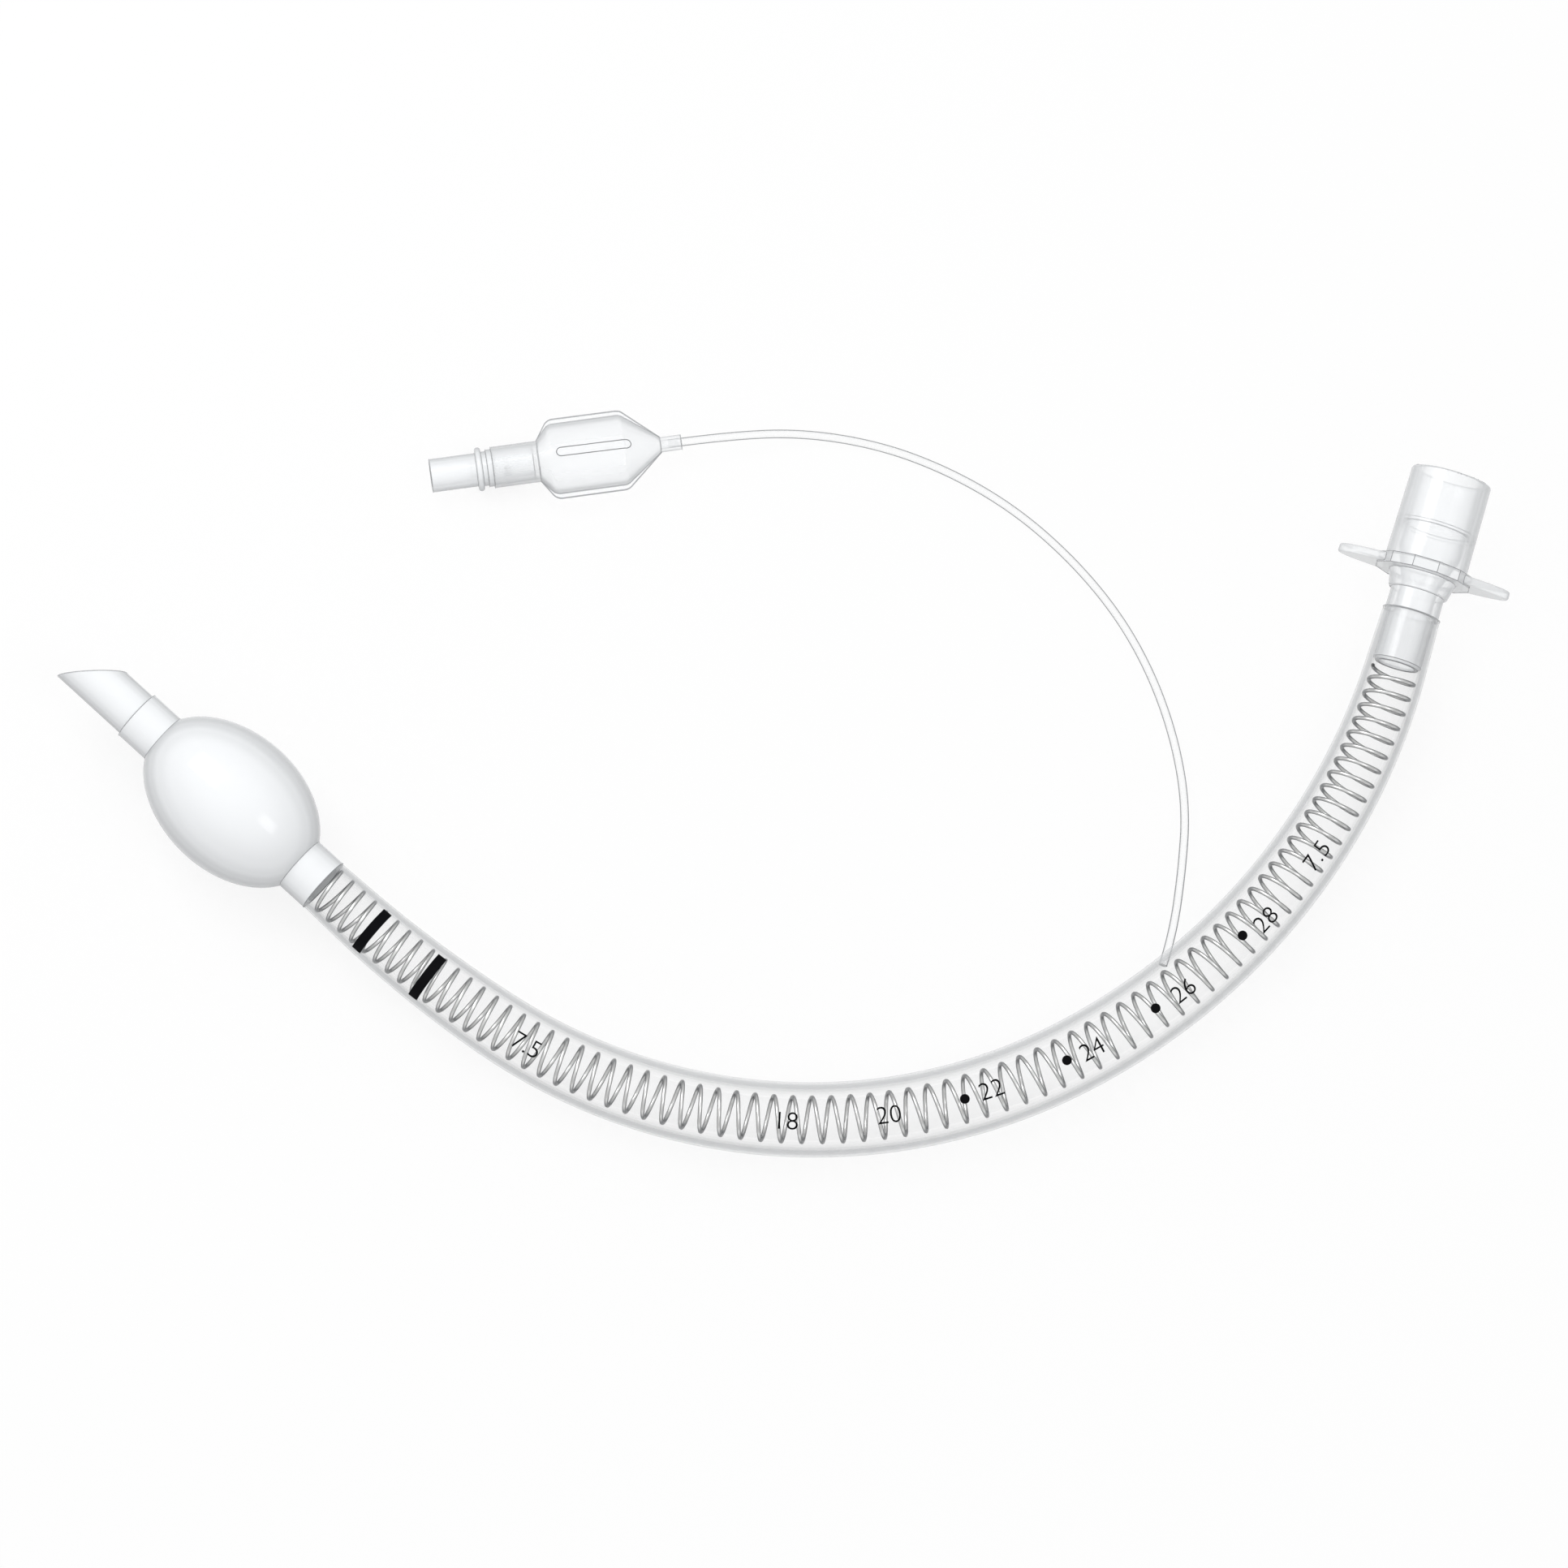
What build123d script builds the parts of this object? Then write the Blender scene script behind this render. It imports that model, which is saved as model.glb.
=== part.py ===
"""Cuffed, wire-reinforced endotracheal tube, lying on a flat surface.

Millimetres, +Z up. The origin is on the surface, under the middle of the tube.
The tube's axis is one plane curve. "Along" is the distance along it, counted from
the sharp end of the bevel. The tube is drawn flat and then laid on the surface,
where it rests on its cuff, its thickest stretch and its flange.
"""

import os
from math import atan2, copysign, cos, pi, radians, sin, sqrt, tan

from build123d import *

# Tube axis, in the tube's own plane
TIP_X = -129.6
TIP_Y = 27.2
TIP_HEADING = -42.5
TIP_STRAIGHT = 68.3
ENTRY_BEND_RADIUS = 224.0
ENTRY_BEND_TURN = 8.8
MAIN_BEND_RADIUS = 102.6
MAIN_BEND_TURN = 60.6
UPPER_BEND_RADIUS = 119.3
UPPER_BEND_TURN = 46.8
END_STRAIGHT = 10.6

# Reinforced shaft, which swells between its two ends
BORE_D = 7.5
SHAFT_START = 59.0
SHAFT_OD_CUFF_END = 10.3
SHAFT_OD_CONNECTOR_END = 10.8
SHAFT_OD_SWELL = 3.3
SHAFT_FULLNESS = 2.6
SHAFT_SECTIONS = 25
SHAFT_REST_SHARE = 0.62
COLLAR_LEAD = 0.6

# Reinforcing wire in the shaft's wall
WIRE_SIZE = 0.65
WIRE_COVER = 0.03
WIRE_TURNS = 76
WIRE_SPREAD = 0.14
WIRE_STEPS_PER_TURN = 10
WIRE_START = 62.6
WIRE_END_GAP = 1.2

# Bevelled end piece, which runs through the cuff to the shaft
TIP_OD = 9.0
TIP_TAPER_START = 22.0
TIP_TAPER_END = 55.0
BEVEL_ANGLE = 45.0
BEVEL_CORNER_RADIUS = 1.2

# Inflation channel in the wall, with its port in the cuff
CHANNEL_SIZE = 0.5
CHANNEL_COVER = 0.05
PORT_ALONG = 52.0
PORT_D = 1.2

# Cuff
CUFF_MIDDLE = 39.4
CUFF_D = 25.8
CUFF_HALF_DISTAL = 18.8
CUFF_HALF_PROXIMAL = 18.2
CUFF_FILM = 0.25
CUFF_SLEEVE_WALL_DISTAL = 0.4
CUFF_SLEEVE_WALL_PROXIMAL = 0.2
CUFF_START = 15.6
CUFF_END = 61.8
CUFF_SLEEVE_GAP = 0.06
EGG_STEPS = 6

# Breathing connector, with heights counted from the tube's end
STEM_LENGTH = 9.9
STEM_D = 9.0
STEM_WALL = 1.0
STEM_CHAMFER = 0.5
NECK_D = 10.05
NECK_LENGTH = 4.0
BOWL_D_BOTTOM = 11.0
BOWL_D_TOP = 12.6
BOWL_RADIUS = 0.4
FLANGE_BOTTOM = 7.2
FLANGE_THICKNESS = 2.0
FLANGE_FLATS = 17.5
FLANGE_SIDES = 12
WING_SPAN = 32.4
WING_WIDTH = 10.4
WING_THICKNESS = 1.6
WING_EDGE_RADIUS = 0.4
CONE_LENGTH = 17.3
CONE_BASE_D = 15.47
CONE_TAPER = 1 / 40
CONE_RIM_RADIUS = 0.4
SOCKET_WALL = 1.2
SOCKET_STEP_HEIGHT = 16.3
SOCKET_STEP = 0.4
FUNNEL_TOP = 12.0
FUNNEL_BOTTOM = 5.5

# Inflation line, in the points of its route from the shaft to the pilot balloon
LINE_D = 1.6
LINE_GAP = 0.02
LINE_ARC_SHARE = 0.45
LINE_ROUTE = [
    (69.1, -28.4, 6.9),
    (70.9, -22.6, 6.1),
    (72.6, -10.6, 3.7),
    (73.5, 1.9, 1.5),
    (71.6, 14.4, 0.8),
    (67.4, 26.9, 0.8),
    (61.2, 38.3, 0.8),
    (52.6, 48.8, 0.8),
    (42.3, 58.0, 0.8),
    (30.5, 65.1, 0.8),
    (17.6, 70.1, 0.8),
    (3.2, 72.3, 1.6),
    (-10.52, 71.06, 4.4),
    (-21.12, 69.59, 4.4),
]

# Pilot balloon and valve, on one axis that starts at the valve's mouth
VALVE_X = -64.6
VALVE_Y = 63.56
VALVE_HEADING = 7.9
PILOT_START = 19.9
PILOT_LENGTH = 22.5
PILOT_WIDTH = 14.9
PILOT_THICKNESS = 8.8
PILOT_SHOULDER = 2.4
PILOT_NOSE = 6.8
PILOT_CORNER_RADIUS = 2.0
PILOT_FILM = 0.4
WELD_WIDTH = 0.9
WELD_THICKNESS = 0.6
SLEEVE_D = 7.6
SLEEVE_WALL = 0.5
SLEEVE_LENGTH = 8.5
TAIL_D = 2.8
TAIL_LENGTH = 3.8
BARREL_D = 6.15
BARREL_LENGTH = 8.4
MOUTH_D = 4.3
LUER_TAPER = 0.06
LUER_DEPTH = 7.4
RING_D = 8.1
RING_THICKNESS = 1.1
GROOVE_D = 6.35
GROOVE_LENGTH = 0.9
BEAD_D = 6.9
STUB_END_GAP = 1.0
SEAT_BORE_D = 2.6
SEAT_LAND = 1.1
CHAMBER_D = 4.6
SEAT_GAP = 0.03
RUNNING_GAP = 0.05
VALVE_TRAVEL = 1.2
SEAL_D = 3.9
SEAL_THICKNESS = 0.7
HEAD_D = 3.6
HEAD_THICKNESS = 0.6
POPPET_STEM_D = 1.5
POPPET_STEM_LENGTH = 2.0
POPPET_GUIDE_D = 1.0
POPPET_GUIDE_LENGTH = 4.4
CAGE_THICKNESS = 1.2
CAGE_SLOTS = 3
SLOT_D = 0.7
SLOT_CIRCLE_D = 3.1
SPRING_D = 2.7
SPRING_WIRE = 0.3
SPRING_TURNS = 4
SPRING_STEPS_PER_TURN = 10
SPRING_ROOM = 3.6


def axis_runs():
    """Length, radius and turn in degrees of each run of the axis."""
    bends = (
        (ENTRY_BEND_RADIUS, ENTRY_BEND_TURN),
        (MAIN_BEND_RADIUS, MAIN_BEND_TURN),
        (UPPER_BEND_RADIUS, UPPER_BEND_TURN),
    )
    runs = [(TIP_STRAIGHT, None, 0.0)]
    runs += [(radius * radians(turn), radius, turn) for radius, turn in bends]
    runs.append((END_STRAIGHT, None, 0.0))
    return runs


def tube_length():
    return sum(length for length, _, _ in axis_runs())


def axis_point(along):
    """Point of the axis and its heading in radians. Past its end it runs on straight."""
    x, y, heading = TIP_X, TIP_Y, radians(TIP_HEADING)
    left = along
    for length, radius, _ in axis_runs():
        step = min(left, length)
        if radius is None:
            x += step * cos(heading)
            y += step * sin(heading)
        else:
            change = step / radius
            x += radius * (sin(heading + change) - sin(heading))
            y -= radius * (cos(heading + change) - cos(heading))
            heading += change
        left -= step
        if left <= 0.0:
            break
    return Vector(x + left * cos(heading), y + left * sin(heading), 0), heading


def axis_plane(along):
    """Plane across the axis: x points to the inside of the bends, y up, z ahead."""
    point, heading = axis_point(along)
    inward = Vector(-sin(heading), cos(heading), 0)
    return Plane(origin=point, x_dir=inward, z_dir=(cos(heading), sin(heading), 0))


def axis_wire(start, end, offset=0.0):
    """The axis between two places, moved towards the inside of the bends."""
    edges = []
    passed = 0.0
    for length, radius, turn in axis_runs():
        first, last = max(start, passed), min(end, passed + length)
        passed += length
        if last <= first:
            continue
        across = axis_plane(first)
        point = across.origin + across.x_dir * offset
        if radius is None:
            edges.append(Line(point, point + across.z_dir * (last - first)).edge())
        else:
            part = turn * (last - first) / length
            edges.append(JernArc(point, across.z_dir, radius - offset, part).edge())
    return Wire(edges)


def swept(section, start, end, offset=0.0):
    """A flat section carried along the axis, or beside it."""
    place = axis_plane(start) * Pos(offset, 0, 0)
    return sweep(place * section, path=axis_wire(start, end, offset))


def spun(outline, plane):
    """Solid of revolution about the plane's z, from an outline of radius and height."""
    return plane * revolve(Plane.XZ * outline, Axis.Z)


def polygon(*points):
    return make_face(Polyline(*points, close=True))


def rod(diameter, start, end, plane):
    """Round bar on the plane's z, between two heights."""
    return plane * Pos(0, 0, start) * extrude(Circle(diameter / 2), end - start)


def coil(place_at, radius, size, start, end, turns, steps, widening=0.0):
    """Square-section coil, ruled between sections that go round the line of place_at.

    Widening is how much wider the turns stand in the middle than on average, and how
    much closer at the ends.
    """
    climb = atan2(end - start, 2 * pi * radius * turns)
    sections = []
    for step in range(turns * steps + 1):
        angle = 2 * pi * step / steps
        share = step / (turns * steps)
        share -= widening * sin(2 * pi * share) / (2 * pi)
        across = place_at(start + (end - start) * share)
        out = across.x_dir * cos(angle) + across.y_dir * sin(angle)
        around = across.y_dir * cos(angle) - across.x_dir * sin(angle)
        ahead = around * cos(climb) + across.z_dir * sin(climb)
        place = Plane(origin=across.origin + out * radius, x_dir=out, z_dir=ahead)
        sections.append((place * Rectangle(size, size)).face().outer_wire())
    return Solid.make_loft(sections, ruled=True)


def shaft_od(along):
    share = (along - SHAFT_START) / (tube_length() - SHAFT_START)
    ends = SHAFT_OD_CUFF_END + (SHAFT_OD_CONNECTOR_END - SHAFT_OD_CUFF_END) * share
    return ends + SHAFT_OD_SWELL * (1 - abs(2 * share - 1) ** SHAFT_FULLNESS)


def wire_radius():
    return (BORE_D + WIRE_SIZE) / 2 + WIRE_COVER


def channel_offset():
    return wire_radius() + WIRE_SIZE / 2 + CHANNEL_COVER + CHANNEL_SIZE / 2


def stem_start():
    return tube_length() - STEM_LENGTH


def resting_plane():
    """The tube's own plane, as it lies on its cuff, its middle and its flange."""
    shaft_rest = SHAFT_START + (tube_length() - SHAFT_START) * SHAFT_REST_SHARE
    contacts = (
        (CUFF_MIDDLE, CUFF_D / 2),
        (shaft_rest, shaft_od(shaft_rest) / 2),
        (tube_length() + FLANGE_BOTTOM, FLANGE_FLATS / 2),
    )
    (p1, h1), (p2, h2), (p3, h3) = [(axis_point(s)[0], h) for s, h in contacts]
    area = (p2.X - p1.X) * (p3.Y - p1.Y) - (p3.X - p1.X) * (p2.Y - p1.Y)
    rise_x = ((h2 - h1) * (p3.Y - p1.Y) - (h3 - h1) * (p2.Y - p1.Y)) / area
    rise_y = ((p2.X - p1.X) * (h3 - h1) - (p3.X - p1.X) * (h2 - h1)) / area
    height = h1 - rise_x * p1.X - rise_y * p1.Y
    x_dir = Vector(sqrt(1 - rise_x**2), 0, rise_x)
    upright = sqrt(1 - rise_x**2 - rise_y**2)
    lean_x = -upright * rise_x / x_dir.X
    lean_y = -copysign(sqrt(max(0.0, 1 - lean_x**2 - upright**2)), rise_y)
    return Plane(origin=(0, 0, height), x_dir=x_dir, z_dir=(lean_x, lean_y, upright))


def line_seat():
    """The drilled seat of the line, in the tube's own plane, from its first run."""
    lying = resting_plane()
    first, second = [lying.to_local_coords(Vector(*p)) for p in LINE_ROUTE[:2]]
    along_line = Plane(origin=first, z_dir=second - first)
    return rod(LINE_D + 2 * LINE_GAP, 0, (second - first).length, along_line)


def line_entry():
    """Where the line's end lies along the axis."""
    end = resting_plane().to_local_coords(Vector(*LINE_ROUTE[0]))
    low, high = SHAFT_START, stem_start()
    for _ in range(40):
        middle = (low + high) / 2
        across = axis_plane(middle)
        if (Vector(end.X, end.Y, 0) - across.origin).dot(across.z_dir) > 0:
            low = middle
        else:
            high = middle
    return low


def make_shaft():
    length = tube_length()
    gap = (length - SHAFT_START) / (SHAFT_SECTIONS - 1)
    stations = [SHAFT_START + gap * k for k in range(SHAFT_SECTIONS)]
    skin = loft([axis_plane(s) * Circle(shaft_od(s) / 2) for s in stations])
    bore = swept(Circle(BORE_D / 2), SHAFT_START, length)
    socket = rod(STEM_D, 0, STEM_LENGTH, axis_plane(stem_start()))
    channel = swept(
        Rectangle(CHANNEL_SIZE, CHANNEL_SIZE), SHAFT_START, line_entry(), channel_offset()
    )
    return skin - bore - socket - channel - line_seat()


def collar_room():
    """The stretch of the shaft that is its plain collar, from just before the stem."""
    room = axis_plane(stem_start() - COLLAR_LEAD)
    return rod(2 * SHAFT_OD_CONNECTOR_END, 0, COLLAR_LEAD + STEM_LENGTH + COLLAR_LEAD, room)


def make_wire():
    return coil(
        axis_plane,
        wire_radius(),
        WIRE_SIZE,
        WIRE_START,
        stem_start() - WIRE_END_GAP,
        WIRE_TURNS,
        WIRE_STEPS_PER_TURN,
        WIRE_SPREAD,
    )


def tip_outline():
    """Half outline of the end piece, solid, which the cuff's sleeves fit."""
    narrow, wide = TIP_OD / 2, SHAFT_OD_CUFF_END / 2
    return polygon(
        (0, 0),
        (narrow, 0),
        (narrow, TIP_TAPER_START),
        (wide, TIP_TAPER_END),
        (wide, SHAFT_START),
        (0, SHAFT_START),
    )


def bevel_cut(plane):
    """Slanting wedge whose sharp end leaves the point on the outside of the bends."""
    radius = TIP_OD / 2
    rise = TIP_OD / tan(radians(BEVEL_ANGLE))
    far = radius + TIP_OD
    wedge = polygon(
        (-far, -rise),
        (radius, rise),
        (radius, 2 * rise),
        (far, 2 * rise),
        (far, -2 * rise),
        (-far, -2 * rise),
    )
    corner = wedge.vertices().sort_by_distance((radius, rise))[0]
    wedge = fillet(corner, BEVEL_CORNER_RADIUS)
    return plane * extrude(Plane.XZ * wedge, TIP_OD, both=True)


def make_tip():
    plane = axis_plane(0)
    bore = rod(BORE_D, 0, SHAFT_START, plane)
    channel = swept(
        Rectangle(CHANNEL_SIZE, CHANNEL_SIZE), PORT_ALONG, SHAFT_START, channel_offset()
    )
    port_place = axis_plane(PORT_ALONG) * Pos(channel_offset(), 0, 0) * Rot(0, 90, 0)
    port = port_place * extrude(Circle(PORT_D / 2), TIP_OD)
    return spun(tip_outline(), plane) - bore - bevel_cut(plane) - channel - port


def egg(trim):
    """Half outline of the cuff's blown middle: two quarter ellipses on one width."""
    points = []
    for step in range(-EGG_STEPS, EGG_STEPS + 1):
        angle = pi / 2 * step / EGG_STEPS
        half = CUFF_HALF_DISTAL if step < 0 else CUFF_HALF_PROXIMAL
        points.append(((CUFF_D / 2 - trim) * cos(angle), CUFF_MIDDLE + (half - trim) * sin(angle)))
    side = Spline(*points)
    return make_face([side.edge(), Line(side @ 1, side @ 0).edge()])


def make_cuff():
    """One blown film: the egg-shaped middle and a sleeve at each end."""
    distal = TIP_OD / 2 + CUFF_SLEEVE_WALL_DISTAL
    proximal = SHAFT_OD_CUFF_END / 2 + CUFF_SLEEVE_WALL_PROXIMAL
    mouth = shaft_od(CUFF_END) / 2 + CUFF_SLEEVE_GAP
    outline = egg(0)
    outline += polygon((0, CUFF_START), (distal, CUFF_START), (distal, CUFF_MIDDLE), (0, CUFF_MIDDLE))
    outline += polygon((0, CUFF_MIDDLE), (proximal, CUFF_MIDDLE), (proximal, CUFF_END), (0, CUFF_END))
    outline -= egg(CUFF_FILM)
    outline -= tip_outline()
    root = SHAFT_OD_CUFF_END / 2
    outline -= polygon((0, SHAFT_START), (root, SHAFT_START), (mouth, CUFF_END), (0, CUFF_END))
    return spun(outline, axis_plane(0))


def cone_radius(height):
    return CONE_BASE_D / 2 - (height - FLANGE_BOTTOM - FLANGE_THICKNESS) * CONE_TAPER / 2


def make_connector():
    plane = axis_plane(tube_length())
    base = FLANGE_BOTTOM + FLANGE_THICKNESS
    rim = base + CONE_LENGTH
    socket = cone_radius(rim) - SOCKET_WALL
    throat = STEM_D / 2 - STEM_WALL
    outer = polygon(
        (throat, -STEM_LENGTH),
        (STEM_D / 2 - STEM_CHAMFER, -STEM_LENGTH),
        (STEM_D / 2, -STEM_LENGTH + STEM_CHAMFER),
        (STEM_D / 2, 0),
        (NECK_D / 2, 0),
        (NECK_D / 2, NECK_LENGTH),
        (BOWL_D_BOTTOM / 2, NECK_LENGTH),
        (BOWL_D_TOP / 2, FLANGE_BOTTOM),
        (CONE_BASE_D / 2, FLANGE_BOTTOM),
        (CONE_BASE_D / 2, base),
        (cone_radius(rim), rim),
        (socket, rim),
        (socket, SOCKET_STEP_HEIGHT),
        (socket - SOCKET_STEP, SOCKET_STEP_HEIGHT),
        (socket - SOCKET_STEP, FUNNEL_TOP),
        (throat, FUNNEL_BOTTOM),
    )
    for spot, radius in (
        ((BOWL_D_BOTTOM / 2, NECK_LENGTH), BOWL_RADIUS),
        ((cone_radius(rim), rim), CONE_RIM_RADIUS),
    ):
        outer = fillet(outer.vertices().sort_by_distance(spot)[0], radius)
    clear = rod(CONE_BASE_D - 2 * STEM_WALL, FLANGE_BOTTOM, base, plane)
    return spun(outer, plane) + (make_flange(plane) - clear)


def make_flange(plane):
    """Twelve-sided disc with two leaf-shaped wings, for the fixing tape."""
    turn = 180 / FLANGE_SIDES
    rim = RegularPolygon(FLANGE_FLATS / 2, FLANGE_SIDES, major_radius=False, rotation=turn)
    disc = extrude(rim, FLANGE_THICKNESS)
    wings = extrude(Ellipse(WING_SPAN / 2, WING_WIDTH / 2), WING_THICKNESS)
    wings = fillet(wings.edges().filter_by(GeomType.ELLIPSE), WING_EDGE_RADIUS)
    wings = Pos(0, 0, (FLANGE_THICKNESS - WING_THICKNESS) / 2) * wings
    return plane * Pos(0, 0, FLANGE_BOTTOM) * (disc + wings)


def line_radii():
    """The largest arcs that the line's runs allow."""
    points = [Vector(*p) for p in LINE_ROUTE]
    radii = []
    for before, corner, after in zip(points, points[1:], points[2:]):
        turn = radians((corner - before).get_angle(after - corner))
        shorter = min((corner - before).length, (after - corner).length)
        radii.append(LINE_ARC_SHARE * shorter / tan(turn / 2))
    return radii


def make_line():
    path = FilletPolyline(*LINE_ROUTE, radius=line_radii())
    start = Plane(origin=path @ 0, z_dir=path % 0)
    return sweep(start * Circle(LINE_D / 2), path=path)


def valve_plane():
    """Plane across the valve's mouth: x up, z towards the line."""
    heading = radians(VALVE_HEADING)
    return Plane(
        origin=(VALVE_X, VALVE_Y, PILOT_THICKNESS / 2),
        x_dir=(0, 0, 1),
        z_dir=(cos(heading), sin(heading), 0),
    )


def weld_rim(plane):
    """Flat rim where the two films of the pilot balloon are welded together."""
    corner = PILOT_WIDTH / 2
    outline = polygon(
        (0, SLEEVE_D / 2),
        (PILOT_SHOULDER, corner),
        (PILOT_LENGTH - PILOT_NOSE, corner),
        (PILOT_LENGTH, TAIL_D / 2),
        (PILOT_LENGTH, -TAIL_D / 2),
        (PILOT_LENGTH - PILOT_NOSE, -corner),
        (PILOT_SHOULDER, -corner),
        (0, -SLEEVE_D / 2),
    )
    corners = outline.vertices().filter_by(lambda v: abs(v.Y) > SLEEVE_D / 2 + WELD_WIDTH)
    outline = fillet(corners, PILOT_CORNER_RADIUS)
    middle = plane.offset(PILOT_START)
    flat = Plane(origin=middle.origin, x_dir=plane.z_dir, z_dir=plane.x_dir)
    return flat * extrude(outline, WELD_THICKNESS / 2, both=True)


def pillow(trim, plane):
    """Pilot balloon's blown form: round at its ends, flattened between them."""
    flat = Ellipse(PILOT_THICKNESS / 2 - trim, PILOT_WIDTH / 2 - WELD_WIDTH - trim)
    sections = [
        Circle(SLEEVE_D / 2 - trim),
        Pos(0, 0, PILOT_SHOULDER) * flat,
        Pos(0, 0, PILOT_LENGTH - PILOT_NOSE) * flat,
        Pos(0, 0, PILOT_LENGTH) * Circle(TAIL_D / 2 - trim),
    ]
    form = loft(sections, ruled=True)
    edges = form.edges().filter_by(GeomType.ELLIPSE)
    return plane * Pos(0, 0, PILOT_START) * fillet(edges, PILOT_CORNER_RADIUS - trim)


def make_pilot():
    plane = valve_plane()
    end = PILOT_START + PILOT_LENGTH
    skin = pillow(0, plane) + weld_rim(plane)
    skin += rod(SLEEVE_D, PILOT_START - SLEEVE_LENGTH, PILOT_START, plane)
    skin += rod(TAIL_D, end, end + TAIL_LENGTH, plane)
    skin -= pillow(PILOT_FILM, plane)
    skin -= rod(SLEEVE_D - 2 * SLEEVE_WALL, PILOT_START - SLEEVE_LENGTH, PILOT_START, plane)
    return skin - rod(LINE_D + 2 * LINE_GAP, end - PILOT_NOSE / 2, end + TAIL_LENGTH, plane)


def sleeve_start():
    return PILOT_START - SLEEVE_LENGTH


def chamber_start():
    return LUER_DEPTH + SEAT_LAND


def head_top():
    return chamber_start() + SEAT_GAP + SEAL_THICKNESS + HEAD_THICKNESS


def cage_start():
    return head_top() + SPRING_ROOM


def make_valve_body():
    """Luer mouth, grip ring and barbed end in one moulding, open from end to end."""
    ring_end = BARREL_LENGTH + RING_THICKNESS
    groove_end = ring_end + GROOVE_LENGTH
    stub = SLEEVE_D / 2 - SLEEVE_WALL
    end = PILOT_START - STUB_END_GAP
    luer_end = MOUTH_D / 2 - LUER_DEPTH * LUER_TAPER / 2
    outline = polygon(
        (MOUTH_D / 2, 0),
        (BARREL_D / 2, 0),
        (BARREL_D / 2, BARREL_LENGTH),
        (RING_D / 2, BARREL_LENGTH),
        (RING_D / 2, ring_end),
        (GROOVE_D / 2, ring_end),
        (GROOVE_D / 2, groove_end),
        (BEAD_D / 2, groove_end),
        (BEAD_D / 2, sleeve_start()),
        (stub, sleeve_start()),
        (stub, end),
        (CHAMBER_D / 2, end),
        (CHAMBER_D / 2, chamber_start()),
        (SEAT_BORE_D / 2, chamber_start()),
        (SEAT_BORE_D / 2, LUER_DEPTH),
        (luer_end, LUER_DEPTH),
    )
    ring = outline.vertices().filter_by(lambda v: abs(v.X - RING_D / 2) < 1e-6)
    outline = fillet(ring, RING_THICKNESS / 2 - RUNNING_GAP)
    return spun(outline, valve_plane())


def make_poppet():
    """The part that a syringe pushes in: stem, head and guide pin, turned as one."""
    plane = valve_plane()
    seal_top = head_top() - HEAD_THICKNESS
    pin = rod(POPPET_STEM_D, seal_top - SEAL_THICKNESS - POPPET_STEM_LENGTH, seal_top, plane)
    pin += rod(HEAD_D, seal_top, head_top(), plane)
    return pin + rod(POPPET_GUIDE_D, head_top(), head_top() + POPPET_GUIDE_LENGTH, plane)


def make_seal():
    plane = valve_plane()
    low = chamber_start() + SEAT_GAP
    washer = rod(SEAL_D, low, low + SEAL_THICKNESS, plane)
    return washer - rod(POPPET_STEM_D, low, low + SEAL_THICKNESS, plane)


def make_cage():
    """Perforated disc that holds the spring and guides the pin."""
    plane = valve_plane()
    low, high = cage_start(), cage_start() + CAGE_THICKNESS
    disc = rod(CHAMBER_D, low, high, plane)
    disc -= rod(POPPET_GUIDE_D + 2 * RUNNING_GAP, low, high, plane)
    for slot in range(CAGE_SLOTS):
        spot = plane * Rot(0, 0, 360 / CAGE_SLOTS * slot) * Pos(SLOT_CIRCLE_D / 2, 0, 0)
        disc -= rod(SLOT_D, low, high, spot)
    return disc


def make_spring():
    plane = valve_plane()
    inset = SPRING_WIRE / 2 + RUNNING_GAP
    return coil(
        lambda height: plane.offset(height),
        (SPRING_D - SPRING_WIRE) / 2,
        SPRING_WIRE,
        head_top() + inset,
        cage_start() - inset,
        SPRING_TURNS,
        SPRING_STEPS_PER_TURN,
    )


def report_line(line):
    radii = ", ".join(f"{radius:.1f}" for radius in line_radii())
    path = FilletPolyline(*LINE_ROUTE, radius=line_radii())
    expected = pi * LINE_D**2 / 4 * path.length
    print(f"line radii {radii}")
    print(f"line length {path.length:.1f}, volume {line.volume:.2f}, section x length {expected:.2f}")


def main():
    lying = resting_plane()
    shaft = make_shaft()
    tube = {
        "tube_shaft": shaft - collar_room(),
        "shaft_collar": shaft & collar_room(),
        "spiral_wire": make_wire(),
        "bevel_tip": make_tip(),
        "cuff": make_cuff(),
        "airway_connector": make_connector(),
    }
    pieces = {name: lying * solid for name, solid in tube.items()}
    pieces["inflation_line"] = make_line()
    pieces["pilot_balloon"] = make_pilot()
    pieces["valve_body"] = make_valve_body()
    pieces["valve_poppet"] = make_poppet()
    pieces["valve_seal"] = make_seal()
    pieces["valve_cage"] = make_cage()
    pieces["valve_spring"] = make_spring()
    report_line(pieces["inflation_line"])
    os.makedirs("parts", exist_ok=True)
    for name, solid in pieces.items():
        export_step(solid, f"parts/{name}.step")


if __name__ == "__main__":
    main()
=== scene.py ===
"""Looks of a cuffed, wire-reinforced endotracheal tube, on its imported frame.

Sizes are in metres. The tube's axis is one plane curve, and "along" is the distance
along it from the sharp end of the bevel. The plane is laid so that the tube rests on
its cuff, its shaft and its flange.
"""

from math import atan2, copysign, cos, pi, radians, sin, sqrt

import bmesh
import bpy
from bpy.props import FloatProperty, FloatVectorProperty, IntProperty, PointerProperty
from mathutils import Matrix, Vector


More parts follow.
